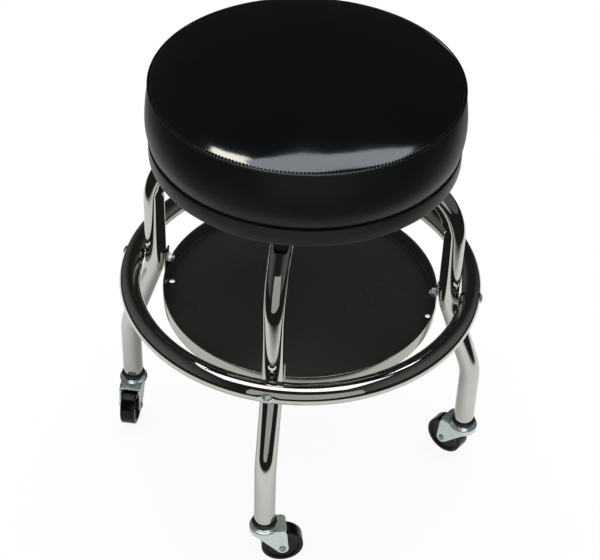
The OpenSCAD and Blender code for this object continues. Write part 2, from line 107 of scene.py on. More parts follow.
def cleanNormals(piece):
    grab(piece)
    bpy.ops.object.mode_set(mode="EDIT")
    bpy.ops.mesh.select_all(action="SELECT")
    bpy.ops.mesh.remove_doubles(threshold=0.00001)
    bpy.ops.mesh.normals_make_consistent(inside=False)
    bpy.ops.object.mode_set(mode="OBJECT")
    return piece


def drawLine(name, points):
    # one vertex, drawn out point by point, left in edit mode with only its last point selected
    deselectAll()
    bpy.ops.mesh.primitive_plane_add(size=0.01, location=(0, 0, 0))
    piece = bpy.context.object
    piece.name = name
    piece.data.name = name
    bpy.ops.object.mode_set(mode="EDIT")
    bpy.ops.mesh.select_all(action="SELECT")
    bpy.ops.mesh.merge(type="CENTER")
    bpy.ops.transform.translate(value=points[0])
    for before, after in zip(points, points[1:]):
        step = Vector(after) - Vector(before)
        bpy.ops.mesh.extrude_region_move(TRANSFORM_OT_translate={"value": step})
    return piece


def turnedPiece(name, profile, steps=96):
    # a profile of (radius, height) in millimetres, spun round Z
    piece = drawLine(name, [(r * mm, 0, z * mm) for r, z in profile])
    bpy.ops.mesh.select_all(action="SELECT")
    bpy.ops.mesh.spin(steps=steps, angle=2 * math.pi, center=(0, 0, 0), axis=(0, 0, 1))
    bpy.ops.mesh.select_all(action="SELECT")
    bpy.ops.mesh.remove_doubles(threshold=0.000004)
    bpy.ops.object.mode_set(mode="OBJECT")
    return cleanNormals(piece)


def platePiece(name, outline, low, high):
    # an outline of (x, y) in millimetres, filled and drawn up from low to high
    piece = drawLine(name, [(x * mm, y * mm, low * mm) for x, y in outline])
    bpy.ops.mesh.select_all(action="SELECT")
    bpy.ops.mesh.edge_face_add()
    bpy.ops.mesh.extrude_region_move(TRANSFORM_OT_translate={"value": (0, 0, (high - low) * mm)})
    bpy.ops.object.mode_set(mode="OBJECT")
    return cleanNormals(piece)


def arcPoints(x, y, radius, start, end, count):
    # points along an arc round (x, y), from start to end in degrees
    angles = [math.radians(start + (end - start) * i / count) for i in range(count + 1)]
    return [(x + radius * math.cos(a), y + radius * math.sin(a)) for a in angles]


def turned(degrees, axis="Z"):
    return Matrix.Rotation(math.radians(degrees), 4, axis)


def moved(x, y, z):
    # a move in millimetres
    return Matrix.Translation((x * mm, y * mm, z * mm))


def cutBy(piece, cutter, operation="DIFFERENCE"):
    applyModifier(piece, "BOOLEAN", object=cutter, operation=operation, solver="EXACT")
    bpy.data.objects.remove(cutter)
    return piece


def roundEdges(piece, width, segments=2, degrees=35):
    return applyModifier(piece, "BEVEL", width=width * mm, segments=segments, limit_method="ANGLE",
                         angle_limit=math.radians(degrees), harden_normals=False)


def copyPiece(piece, name, matrix):
    # every copy has its own mesh, with its place in the mesh
    copied = piece.copy()
    copied.data = piece.data.copy()
    copied.name = name
    copied.data.name = name
    bpy.context.scene.collection.objects.link(copied)
    copied.data.transform(matrix)
    return copied


def joinPieces(first, others, name):
    grab(first)
    for one in others:
        one.select_set(True)
    bpy.ops.object.join()
    first.name = name
    first.data.name = name
    return first


def setFinish(piece, material):
    piece.data.materials.clear()
    piece.data.materials.append(material)
    return piece


def place(piece, body, slotName, material, *nodes):
    setFinish(piece, material)
    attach(piece, body)
    if nodes:
        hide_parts(*nodes)
    return piece


# finishes: grain, wave and cloud sizes and their depths are in millimetres

def cloudFinish(tree, shader, cloud, low, high, smooth, dull, **settings):
    # colour and gloss follow one cloud: its low parts take the first values, its high parts the others
    tint = addNode(tree, "ShaderNodeMix", {6: linearColor(low), 7: linearColor(high)}, {0: cloud},
                   data_type="RGBA")
    tree.links.new(tint.outputs[2], shader.inputs["Base Color"])
    rough = addNode(tree, "ShaderNodeMapRange", {"From Min": 0.3, "From Max": 0.7, "To Min": smooth,
                    "To Max": dull}, {"Value": cloud}, **settings)
    tree.links.new(rough.outputs["Result"], shader.inputs["Roughness"])


tubeChromeValues = {"light": "#c6c7c2", "dark": "#b3b5af", "clear": 0.02, "smeared": 0.07}
# the tray's chrome is the legs' chrome drawn darker: painted shade for the ring's shadow on the floor that the
# tray wall reflects
trayShadedChromeValues = {"light": "#adaea6", "dark": "#9fa097", "clear": 0.05, "smeared": 0.14}
chromeWave = {"size": 35, "depth": 0.6}


def makeChromePlate(name, v):
    # bright chrome over steel: a clear mirror with faint waviness, smeared a little duller by wiping
    material, tree, shader, where = newFinish(name)
    cloud = addNode(tree, "ShaderNodeTexNoise", {"Scale": 14, "Detail": 3}, {"Vector": where})
    tint = addNode(tree, "ShaderNodeMix", {6: linearColor(v["dark"]), 7: linearColor(v["light"])},
                   {0: cloud.outputs["Fac"]}, data_type="RGBA")
    tree.links.new(tint.outputs[2], shader.inputs["Base Color"])
    smear = addNode(tree, "ShaderNodeTexNoise", {"Scale": 60, "Detail": 4}, {"Vector": where})
    rough = addNode(tree, "ShaderNodeMapRange", {"From Min": 0.35, "From Max": 0.75, "To Min": v["clear"],
                    "To Max": v["smeared"]}, {"Value": smear.outputs["Fac"]})
    tree.links.new(rough.outputs["Result"], shader.inputs["Roughness"])
    wave = addNode(tree, "ShaderNodeTexNoise", {"Scale": 1000 / chromeWave["size"], "Detail": 1},
                   {"Vector": where})
    bump = addNode(tree, "ShaderNodeBump", {"Strength": 0.12, "Distance": chromeWave["depth"] * mm},
                   {"Height": wave.outputs["Fac"]})
    tree.links.new(bump.outputs["Normal"], shader.inputs["Normal"])
    shader.inputs["Metallic"].default_value = 1.0
    return material


forkZincValues = {"light": "#d9e6e2", "dark": "#bccac8", "roughness": 0.24, "spangle": 3.5, "metal": 0.86}
raceZincValues = {"light": "#d9e2e2", "dark": "#c4ced0", "roughness": 0.15, "spangle": 6.0, "metal": 0.9}
# the rivet's zinc is the fork's zinc drawn darker: painted shade for the shaded edge round the rivet head
rivetShadedZincValues = {"light": "#a9b4b2", "dark": "#818c8a", "roughness": 0.3, "spangle": 2.0, "metal": 0.9}
zincGrain = {"size": 0.8, "depth": 0.05}


def makeZincPlate(name, v):
    # bright zinc with a clear passivate: bluish grey and cloudy, duller than chrome except where turned smooth
    material, tree, shader, where = newFinish(name)
    cloud = addNode(tree, "ShaderNodeTexNoise", {"Scale": 1000 / (v["spangle"] * 4), "Detail": 5,
                    "Roughness": 0.6}, {"Vector": where})
    cloudFinish(tree, shader, cloud.outputs["Fac"], v["dark"], v["light"], v["roughness"] * 0.8,
                v["roughness"] * 1.35)
    grain = addNode(tree, "ShaderNodeTexNoise", {"Scale": 1000 / zincGrain["size"], "Detail": 2},
                    {"Vector": where})
    bump = addNode(tree, "ShaderNodeBump", {"Strength": 0.1, "Distance": zincGrain["depth"] * mm},
                   {"Height": grain.outputs["Fac"]})
    tree.links.new(bump.outputs["Normal"], shader.inputs["Normal"])
    # the clear chromate film scatters some light, so the plate never looks like a plain mirror
    shader.inputs["Metallic"].default_value = v["metal"]
    return material


stitchValues = {"count": 264, "seamRadius": 175.8, "seamHeight": 548.8, "reach": 6, "depth": 0.22,
                "uneven": 22, "inset": 2.6, "lift": 0.25, "thick": 0.45, "shape": (1.0, 2.9, 0.9),
                "sway": 7, "lean": 17}


def puckerHeight(tree, where):
    # soft gathers that run in from each stitch hole and fade out within a few millimetres
    v = stitchValues
    axes = addNode(tree, "ShaderNodeSeparateXYZ", links={0: where})
    around = addNode(tree, "ShaderNodeMath", links={0: axes.outputs["Y"], 1: axes.outputs["X"]},
                     operation="ARCTAN2")
    turns = addNode(tree, "ShaderNodeMath", {1: float(v["count"])}, {0: around.outputs[0]},
                    operation="MULTIPLY")
    gather = addNode(tree, "ShaderNodeMath", links={0: turns.outputs[0]}, operation="SINE")
    flat = addNode(tree, "ShaderNodeVectorMath", {1: (1, 1, 0)}, {0: where}, operation="MULTIPLY")
    radius = addNode(tree, "ShaderNodeVectorMath", links={0: flat.outputs[0]}, operation="LENGTH")
    inward = addNode(tree, "ShaderNodeMath", {1: v["seamRadius"] * mm}, {0: radius.outputs["Value"]},
                     operation="SUBTRACT")
    upward = addNode(tree, "ShaderNodeMath", {1: v["seamHeight"] * mm}, {0: axes.outputs["Z"]},
                     operation="SUBTRACT")
    both = addNode(tree, "ShaderNodeCombineXYZ", links={0: inward.outputs[0], 2: upward.outputs[0]})
    away = addNode(tree, "ShaderNodeVectorMath", links={0: both.outputs[0]}, operation="LENGTH")
    fade = addNode(tree, "ShaderNodeMapRange", {"From Min": 0.0, "From Max": v["reach"] * mm, "To Min": 1.0,
                   "To Max": 0.0}, {"Value": away.outputs["Value"]}, interpolation_type="SMOOTHSTEP")
    uneven = addNode(tree, "ShaderNodeTexNoise", {"Scale": 1000 / v["uneven"], "Detail": 1}, {"Vector": where})
    strong = addNode(tree, "ShaderNodeMath", links={0: fade.outputs["Result"], 1: uneven.outputs["Fac"]},
                     operation="MULTIPLY")
    height = addNode(tree, "ShaderNodeMath", links={0: gather.outputs[0], 1: strong.outputs[0]},
                     operation="MULTIPLY")
    return height.outputs[0]


vinylTopValues = {"colour": "#06080a", "cloud": "#0b0e10", "roughness": 0.07, "wave": 42, "waveDepth": 0.5}


def makeGlossVinyl():
    # expanded vinyl with a wet gloss top coat, calendered smooth: near black, with slightly wavy reflections
    v = vinylTopValues
    material, tree, shader, where = newFinish("glossVinyl")
    cloud = addNode(tree, "ShaderNodeTexNoise", {"Scale": 9, "Detail": 4}, {"Vector": where})
    cloudFinish(tree, shader, cloud.outputs["Fac"], v["colour"], v["cloud"], v["roughness"] - 0.02,
                v["roughness"] + 0.03)
    wave = addNode(tree, "ShaderNodeTexNoise", {"Scale": 1000 / v["wave"], "Detail": 2}, {"Vector": where})
    soft = addNode(tree, "ShaderNodeBump", {"Strength": 0.3, "Distance": v["waveDepth"] * mm},
                   {"Height": wave.outputs["Fac"]})
    gather = addNode(tree, "ShaderNodeBump", {"Strength": 0.8, "Distance": stitchValues["depth"] * mm},
                     {"Height": puckerHeight(tree, where), "Normal": soft.outputs["Normal"]})
    tree.links.new(gather.outputs["Normal"], shader.inputs["Normal"])
    shader.inputs["IOR"].default_value = 1.52
    return material


vinylSideValues = {"colour": "#0a0d0d", "cloud": "#111412", "roughness": 0.38, "specular": 0.2, "grain": 1.1,
                   "grainDepth": 0.15, "wave": 60, "waveDepth": 1.0}


def makeSatinVinyl():
    # the same vinyl without the gloss coat, with a fine pressed grain drawn twice its real size so it shows
    v = vinylSideValues
    material, tree, shader, where = newFinish("satinVinyl")
    cloud = addNode(tree, "ShaderNodeTexNoise", {"Scale": 12, "Detail": 4}, {"Vector": where})
    cloudFinish(tree, shader, cloud.outputs["Fac"], v["colour"], v["cloud"], v["roughness"] - 0.04,
                v["roughness"] + 0.06)
    pebble = addNode(tree, "ShaderNodeTexVoronoi", {"Scale": 1000 / v["grain"]}, {"Vector": where})
    grain = addNode(tree, "ShaderNodeBump", {"Strength": 0.1, "Distance": v["grainDepth"] * mm},
                    {"Height": pebble.outputs["Distance"]})
    wave = addNode(tree, "ShaderNodeTexNoise", {"Scale": 1000 / v["wave"], "Detail": 2}, {"Vector": where})
    soft = addNode(tree, "ShaderNodeBump", {"Strength": 0.25, "Distance": v["waveDepth"] * mm},
                   {"Height": wave.outputs["Fac"], "Normal": grain.outputs["Normal"]})
    gather = addNode(tree, "ShaderNodeBump", {"Strength": 0.6, "Distance": stitchValues["depth"] * mm},
                     {"Height": puckerHeight(tree, where), "Normal": soft.outputs["Normal"]})
    tree.links.new(gather.outputs["Normal"], shader.inputs["Normal"])
    shader.inputs["Specular IOR Level"].default_value = v["specular"]
    return material


plainValues = {
    # powder coat on rolled steel strip: dark warm grey, slightly soft sheen
    "satinPowderCoat": {"light": "#1a1b18", "dark": "#141512", "roughness": 0.42, "grain": 1.2, "depth": 0.06,
                        "cloud": 30, "ior": 1.5},
    # moulded ABS: black with a satin face that blurs what it reflects
    "satinAbs": {"light": "#31322d", "dark": "#2b2c28", "roughness": 0.26, "grain": 2.0, "depth": 0.012,
                 "cloud": 90, "ior": 1.5},
    # moulded nylon: black, dull
    "blackNylon": {"light": "#1d1d1c", "dark": "#121212", "roughness": 0.4, "grain": 1.0, "depth": 0.05,
                   "cloud": 30, "ior": 1.5},
    # hard polyolefin wheel: near black, smooth from the mould, scuffed a little duller in patches
    "hardWheel": {"light": "#0b0c0c", "dark": "#050606", "roughness": 0.15, "grain": 1.5, "depth": 0.03,
                  "cloud": 12, "ior": 1.3},
    # bonded polyester sewing thread: black, soft and slightly fuzzy
    "polyesterThread": {"light": "#202325", "dark": "#0e1011", "roughness": 0.5, "grain": 0.5, "depth": 0.08,
                        "cloud": 3, "ior": 1.5}}


def makePlainFinish(name):
    # a cloudy colour with a grained surface
    v = plainValues[name]
    material, tree, shader, where = newFinish(name)
    cloud = addNode(tree, "ShaderNodeTexNoise", {"Scale": 1000 / v["cloud"], "Detail": 4}, {"Vector": where})
    cloudFinish(tree, shader, cloud.outputs["Fac"], v["dark"], v["light"], v["roughness"] * 0.95,
                v["roughness"] * 1.06, interpolation_type="SMOOTHSTEP")
    grain = addNode(tree, "ShaderNodeTexNoise", {"Scale": 1000 / v["grain"], "Detail": 2}, {"Vector": where})
    bump = addNode(tree, "ShaderNodeBump", {"Strength": 0.3, "Distance": v["depth"] * mm},
                   {"Height": grain.outputs["Fac"]})
    tree.links.new(bump.outputs["Normal"], shader.inputs["Normal"])
    shader.inputs["IOR"].default_value = v["ior"]
    return material


plyValues = {"light": "#241c15", "dark": "#0f0d0b", "stretch": (6, 90, 90), "streak": 1.2, "depth": 0.3,
             "roughness": 0.62}


def makePlywood():
    # rotary cut birch ply under a thin black stain: the grain shows through as brown streaks
    v = plyValues
    material, tree, shader, where = newFinish("stainedPly")
    stretch = addNode(tree, "ShaderNodeMapping", {"Scale": v["stretch"]}, {"Vector": where})
    streak = addNode(tree, "ShaderNodeTexNoise", {"Scale": v["streak"], "Detail": 6},
                     {"Vector": stretch.outputs["Vector"]})
    tint = addNode(tree, "ShaderNodeMix", {6: linearColor(v["dark"]), 7: linearColor(v["light"])},
                   {0: streak.outputs["Fac"]}, data_type="RGBA")
    tree.links.new(tint.outputs[2], shader.inputs["Base Color"])
    bump = addNode(tree, "ShaderNodeBump", {"Strength": 0.3, "Distance": v["depth"] * mm},
                   {"Height": streak.outputs["Fac"]})
    tree.links.new(bump.outputs["Normal"], shader.inputs["Normal"])
    shader.inputs["Roughness"].default_value = v["roughness"]
    return material


tubeChrome = makeChromePlate("tubeChrome", tubeChromeValues)
trayShadedChrome = makeChromePlate("trayShadedChrome", trayShadedChromeValues)
zincPlate = makeZincPlate("zincPlate", forkZincValues)
raceZinc = makeZincPlate("raceZinc", raceZincValues)
rivetShadedZinc = makeZincPlate("rivetShadedZinc", rivetShadedZincValues)
glossVinyl = makeGlossVinyl()
satinVinyl = makeSatinVinyl()
stainedPly = makePlywood()
bandCoat = makePlainFinish("satinPowderCoat")
linerPlastic = makePlainFinish("satinAbs")
nylonBlack = makePlainFinish("blackNylon")
wheelPlastic = makePlainFinish("hardWheel")
threadFinish = makePlainFinish("polyesterThread")
print("stage: finishes made")


# chrome legs

# creaseAt, ridgeAt and creaseWidth are degrees round the top bend
legValues = {"radius": 12.7, "wall": 1.5, "sides": 48, "innerEnd": 17.6, "topHeight": 440.0, "topBend": 85.0,
             "upperRadius": 180.2, "lowerRadius": 217.5, "splayBend": 90.0, "splayAngle": 19.0,
             "splayTop": 278.6, "endHeight": 66.2, "creaseDepth": 2.6, "creaseAt": 9, "ridgeAt": 16,
             "creaseWidth": 3.2}


def makeLeg():
    v = legValues
    angle = math.radians(v["splayAngle"])
    out = v["lowerRadius"] - v["upperRadius"]
    run = (out - 2 * v["splayBend"] * (1 - math.cos(angle))) / math.sin(angle)
    splayEnd = v["splayTop"] - 2 * v["splayBend"] * math.sin(angle) - run * math.cos(angle)
    deselectAll()
    bpy.ops.mesh.primitive_circle_add(vertices=v["sides"], radius=v["radius"] * mm, fill_type="NOTHING",
                                      location=(v["lowerRadius"] * mm, 0, v["endHeight"] * mm))
    leg = bpy.context.object
    leg.name = "legMaster"
    applyPlace(leg)
    bpy.ops.object.mode_set(mode="EDIT")
    bpy.ops.mesh.select_all(action="SELECT")

    def straight(length, lean, pieces):
        step = Vector((-math.sin(lean), 0, math.cos(lean))) * (length / pieces) * mm
        for _ in range(pieces):
            bpy.ops.mesh.extrude_region_move(TRANSFORM_OT_translate={"value": step})

    def bend(centre, turn, steps):
        bpy.ops.mesh.spin(steps=steps, angle=turn, center=(centre[0] * mm, 0, centre[1] * mm), axis=(0, 1, 0))

    straight(splayEnd - v["endHeight"], 0, 6)
    bend((v["lowerRadius"] - v["splayBend"], splayEnd), angle, 12)
    straight(run, angle, 6)
    bend((v["upperRadius"] + v["splayBend"], v["splayTop"]), -angle, 12)
    straight(v["topHeight"] - v["topBend"] - v["splayTop"], 0, 6)
    bend((v["upperRadius"] - v["topBend"], v["topHeight"] - v["topBend"]), math.pi / 2, 40)
    straight(v["upperRadius"] - v["topBend"] - v["innerEnd"], math.pi / 2, 8)
    bpy.ops.object.mode_set(mode="OBJECT")
    # the mandrel leaves the bend slightly flat, with one soft crease on its inner side
    centre = Vector(((v["upperRadius"] - v["topBend"]) * mm, 0, (v["topHeight"] - v["topBend"]) * mm))
    for vertex in leg.data.vertices:
        spoke = vertex.co - centre
        along = math.degrees(math.atan2(spoke.z, spoke.x))
        # only the points of the top bend
        if spoke.x > -0.002 and spoke.z > -0.02:
            reach = math.hypot(spoke.x, spoke.z)
            inner = max(0.0, (v["topBend"] * mm - reach) / (v["radius"] * mm))
            dip = math.exp(-((along - v["creaseAt"]) / v["creaseWidth"]) ** 2)
            crease = dip - 0.5 * math.exp(-((along - v["ridgeAt"]) / v["creaseWidth"]) ** 2)
            direction = Vector((spoke.x, 0, spoke.z)).normalized()
            vertex.co += direction * v["creaseDepth"] * mm * crease * inner ** 1.5
    cleanNormals(leg)
    applyModifier(leg, "SOLIDIFY", thickness=v["wall"] * mm, offset=-1)
    roundEdges(leg, 0.3, 2, 60)
    return smoothByAngle(leg, 40)


legMaster = makeLeg()
for legName, legAngle in legAngles.items():
    leg = copyPiece(legMaster, "legTube" + legName.title(), turned(legAngle))
    place(leg, "frame", "chrome", tubeChrome, "leg_" + legName)
bpy.data.objects.remove(legMaster)
print("stage: legs made")


# foot ring, with a flat pressed under each screw

ringValues = {"radius": 206.574, "tube": 12.7, "height": 268.6, "flat": 1.2, "dent": 11.0, "softEdge": 4.0}


def makeRing():
    v = ringValues
    deselectAll()
    bpy.ops.mesh.primitive_torus_add(major_segments=320, minor_segments=48, major_radius=v["radius"] * mm,
                                     minor_radius=v["tube"] * mm, location=(0, 0, v["height"] * mm))
    ring = bpy.context.object
    ring.name = "footRing"
    applyPlace(ring)
    face = (v["radius"] + v["tube"] - v["flat"]) * mm
    for vertex in ring.data.vertices:
        for legAngle in legAngles.values():
            outward = Vector((math.cos(math.radians(legAngle)), math.sin(math.radians(legAngle)), 0))
            depth = vertex.co.dot(outward)
            aside = (vertex.co - outward * depth - Vector((0, 0, v["height"] * mm))).length
            if depth > face and aside < v["dent"] * mm:
                soft = min(1.0, (v["dent"] - aside / mm) / v["softEdge"])
                soft = soft * soft * (3 - 2 * soft)
                vertex.co -= outward * (depth - face) * soft
    return smoothByAngle(ring, 60)


place(makeRing(), "frame", "chrome", tubeChrome, "foot_ring")
print("stage: foot ring made")


# tray and its liner

trayValues = {"radius": 167.3, "floor": 234.9, "wall": 21.4, "sheet": 1.4, "foot": 4.0, "screwHeight": 268.6,
              "liner": 1.2, "step": 0.6, "gap": 0.05, "tabWidth": 24.0, "tabTop": 280.6, "tabLow": 249.2,
              "drainRadius": 159.1, "drainAhead": 8.0, "drainHole": 7.4}


def dishProfile(outer, floor, foot, sheet, rim):
    # flat floor, rounded foot, upright wall and rolled rim, outside first and then back along the inside
    outside = arcPoints(outer - foot, floor + foot, foot, -90, 0, 10)
    rimCurve = arcPoints(outer - sheet / 2, rim - sheet / 2, sheet / 2, 0, 180, 6)
    inside = arcPoints(outer - foot, floor + foot, foot - sheet, 0, -90, 10)
    return [(0, floor)] + [(outer * k, floor) for k in (0.3, 0.6, 0.85)] + outside + rimCurve + inside + \
        [(outer * k, floor + sheet) for k in (0.85, 0.6, 0.3)] + [(0, floor + sheet)]


def drillDrains(piece):
    v = trayValues
    for side in (-1, 1):
        spot = (side * v["drainRadius"] * mm, -v["drainAhead"] * mm, (v["floor"] + 1) * mm)
        deselectAll()
        bpy.ops.mesh.primitive_cylinder_add(vertices=40, radius=v["drainHole"] / 2 * mm, depth=0.02,
                                            location=spot)
        cutBy(piece, applyPlace(bpy.context.object))
    return piece


def makeTray():
    v = trayValues
    profile = dishProfile(v["radius"], v["floor"], v["foot"], v["sheet"], v["floor"] + v["wall"])
    tray = drillDrains(turnedPiece("trayDish", profile, 160))
    corner = v["tabWidth"] / 4
    half = v["tabWidth"] / 2
    low = v["tabLow"] - v["screwHeight"]
    top = v["tabTop"] - v["screwHeight"]
    outline = [(-half, low), (half, low)] + arcPoints(half - corner, top - corner, corner, 0, 90, 8)
    outline += arcPoints(-half + corner, top - corner, corner, 90, 180, 8)
    tab = roundEdges(platePiece("tabMaster", outline, 0, v["sheet"]), 0.35)
    # the tab is drawn flat, so it is stood up against the inside of the wall
    upright = Matrix(((0, 0, 1, 0), (1, 0, 0, 0), (0, 1, 0, 0), (0, 0, 0, 1)))
    stand = moved(v["radius"] - v["sheet"], 0, v["screwHeight"]) @ upright
    tabs = [copyPiece(tab, "trayTab" + name.title(), turned(angle) @ stand)
            for name, angle in legAngles.items()]
    bpy.data.objects.remove(tab)
    return smoothByAngle(joinPieces(tray, tabs, "trayDish"), 40)


def makeLiner():
    v = trayValues
    profile = dishProfile(v["radius"] - v["sheet"] - v["gap"], v["floor"] + v["sheet"], v["foot"] - v["sheet"],
                          v["liner"], v["floor"] + v["wall"] - v["step"])
    return smoothByAngle(drillDrains(turnedPiece("trayLiner", profile, 160)), 40)


# the tray wears the darker chrome, with painted shade in its colour
place(makeTray(), "frame", "chrome", trayShadedChrome, "tray")
place(makeLiner(), "frame", "black_liner", linerPlastic, "tray_liner")
print("stage: tray made")


# seat: band, cushion, seam and stitches

bandValues = {"radius": 178.0, "low": 457.8, "high": 477.8, "sheet": 1.5, "lip": 3.0, "roll": 0.75}


def makeBand():
    v = bandValues
    outer, roll, low, high = v["radius"], v["roll"], v["low"], v["high"]
    profile = [(outer - v["lip"], low)] + arcPoints(outer - roll * 2, low + roll * 2, roll * 2, -90, 0, 5)
    profile += arcPoints(outer - roll, high - roll, roll, 0, 180, 8)
    profile += [(outer - v["sheet"], low + v["sheet"]), (outer - v["lip"], low + v["sheet"])]
    profile += [(outer - v["lip"], low)]
    return smoothByAngle(turnedPiece("trimBand", profile, 192), 50)


place(makeBand(), "seat", "band", bandCoat, "seat_band")

cushionValues = {"steps": 240, "footRadius": 174.0, "footHeight": 478.2, "fatRadius": 180.7,
                 "fatHeight": 504.0, "seamRadius": stitchValues["seamRadius"],
                 "seamHeight": stitchValues["seamHeight"], "crown": 17.6, "swell": 0.55, "rows": 16,
                 "seed": 7, "lump": 0.7, "lumpsPerMetre": 22, "cover": 1.3}
# the cloth's air pressure and stiffness, how far the held rows reach and the most it may move, in millimetres
puffValues = {"pressure": 4.0, "stiffness": 40, "bending": 2, "frames": 20, "footHold": 2, "seamHold": 2.5,
              "cap": 2.6}


def cushionRadius(height):
    v = cushionValues
    fat = v["fatRadius"]
    if height < v["fatHeight"]:
        share = max(0.0, (height - v["footHeight"]) / (v["fatHeight"] - v["footHeight"]))
        return v["footRadius"] + (fat - v["footRadius"]) * math.sin(math.pi / 2 * share) ** v["swell"]
    share = (height - v["fatHeight"]) / (v["seamHeight"] - v["fatHeight"])
    return v["seamRadius"] + (fat - v["seamRadius"]) * math.cos(math.pi / 2 * share)


def crownHeight(share):
    return cushionValues["seamHeight"] + cushionValues["crown"] * (1 - share ** 3)


def fillMiddle(form, radius, onTop):
    # a square net of faces in the middle, so no point has hundreds of edges
    v = cushionValues
    rim = [abs(math.hypot(p.co.x, p.co.y) / mm - radius) < 0.5 and (p.co.z / mm > v["fatHeight"]) == onTop
           for p in form.data.vertices]
    known = len(rim)
    grab(form)
    bpy.ops.object.mode_set(mode="EDIT")
    bpy.ops.mesh.select_mode(type="VERT")
    bpy.ops.mesh.select_all(action="DESELECT")
    bpy.ops.object.mode_set(mode="OBJECT")
    form.data.vertices.foreach_set("select", rim)
    bpy.ops.object.mode_set(mode="EDIT")
    bpy.ops.mesh.select_mode(type="VERT")
    bpy.ops.mesh.fill_grid(span=v["steps"] // 4)
    bpy.ops.object.mode_set(mode="OBJECT")
    if onTop:
        for vertex in form.data.vertices[known:]:
            vertex.co.z = crownHeight(math.hypot(vertex.co.x, vertex.co.y) / mm / v["seamRadius"]) * mm


def makeCushion():
    # the whole sewn cover as one closed form: base, side, seam and crown
    v = cushionValues
    base = [(v["footRadius"] * k, v["footHeight"]) for k in (0.35, 0.5, 0.7, 0.92)]
    side = []
    for i in range(v["rows"] + 1):
        height = v["footHeight"] + (v["seamHeight"] - v["footHeight"]) * (i / v["rows"]) ** 1.2
        side.append((cushionRadius(height), height))
    crown = [(v["seamRadius"] * share, crownHeight(share)) for share in (1 - i / 30 for i in range(1, 20))]
    form = turnedPiece("cushionForm", base + side + crown, v["steps"])
    fillMiddle(form, crown[-1][0], True)
    fillMiddle(form, base[0][0], False)
    cleanNormals(form)
    # soft lumps, as in a real cushion's filling
    uneven = random.Random(v["seed"])
    shift = Vector((uneven.random(), uneven.random(), uneven.random())) * 10
    outward = [vertex.normal.copy() for vertex in form.data.vertices]
    for vertex, away in zip(form.data.vertices, outward):
        if vertex.co.z > (v["footHeight"] + 4) * mm:
            vertex.co += away * (v["lump"] * mm) * noise.noise(vertex.co * v["lumpsPerMetre"] + shift)
    puffUp(form)
    return form


def puffUp(form):
    # cloth with air pressure, held at its foot and at the seam, then capped so it keeps its size
    v = cushionValues
    p = puffValues
    rest = [vertex.co.copy() for vertex in form.data.vertices]
    held = form.vertex_groups.new(name="held")
    for vertex in form.data.vertices:
        radius = math.hypot(vertex.co.x, vertex.co.y) / mm
        height = vertex.co.z / mm
        seamGap = math.hypot(radius - v["seamRadius"], height - v["seamHeight"])
        if height < v["footHeight"] + p["footHold"] or seamGap < p["seamHold"]:
            held.add([vertex.index], 1.0, "REPLACE")
    grab(form)
    cloth = form.modifiers.new("Cloth", "CLOTH")
    cloth.settings.vertex_group_mass = "held"
    cloth.settings.use_pressure = True
    cloth.settings.uniform_pressure_force = p["pressure"]
    cloth.settings.tension_stiffness = p["stiffness"]
    cloth.settings.compression_stiffness = p["stiffness"]
    cloth.settings.bending_stiffness = p["bending"]
    cloth.settings.effector_weights.gravity = 0
    cloth.point_cache.frame_start = 1
    cloth.point_cache.frame_end = p["frames"]
    for step in range(1, p["frames"] + 1):
        bpy.context.scene.frame_set(step)
    bpy.ops.object.modifier_apply(modifier=cloth.name)
    bpy.context.scene.frame_set(1)
    form.vertex_groups.clear()
    most = 0.0
    for vertex, before in zip(form.data.vertices, rest):
        move = vertex.co - before
        most = max(most, move.length)
        if move.length > p["cap"] * mm:
            vertex.co = before + move.normalized() * p["cap"] * mm
    print("cushion puffed up, largest move before the cap, mm:", round(most / mm, 1))


def splitCushion(form):
    # the gloss panel inside the seam, and the satin side with its base
    v = cushionValues
    top = copyPiece(form, "seatTopPanel", Matrix.Identity(4))
    side = copyPiece(form, "seatSidePanel", Matrix.Identity(4))
    for piece, wantTop in ((top, True), (side, False)):
        grab(piece)
        bpy.ops.object.mode_set(mode="EDIT")
        bpy.ops.mesh.select_all(action="DESELECT")
        bpy.ops.object.mode_set(mode="OBJECT")
        seam = (v["seamHeight"] - 0.2) * mm
        drop = [(face.center.z > seam and face.normal.z > 0) != wantTop for face in piece.data.polygons]
        piece.data.polygons.foreach_set("select", drop)
        bpy.ops.object.mode_set(mode="EDIT")
        bpy.ops.mesh.delete(type="FACE")
        bpy.ops.object.mode_set(mode="OBJECT")
        applyModifier(piece, "SOLIDIFY", thickness=v["cover"] * mm, offset=-1)
        applyModifier(piece, "SUBSURF", levels=1, render_levels=1)
        smoothByAngle(piece, 50)
    bpy.data.objects.remove(form)
    return top, side


seatTop, seatSide = splitCushion(makeCushion())
place(seatTop, "seat", "vinyl_top", glossVinyl, "seat_top")
place(seatSide, "seat", "vinyl_side", satinVinyl, "seat_side", "seat_foam")
print("stage: cushion made")

seamValues = {"roll": 0.9, "radius": 175.9, "height": 548.9}


def makeSeamRoll():
    # the turned edge of the top panel, sewn down over the side
    v = seamValues
    profile = arcPoints(v["radius"], v["height"], v["roll"], 0, 360, 10)
    return smoothByAngle(turnedPiece("seamEdge", profile, 264), 60)


place(makeSeamRoll(), "seat", "vinyl_side", satinVinyl)


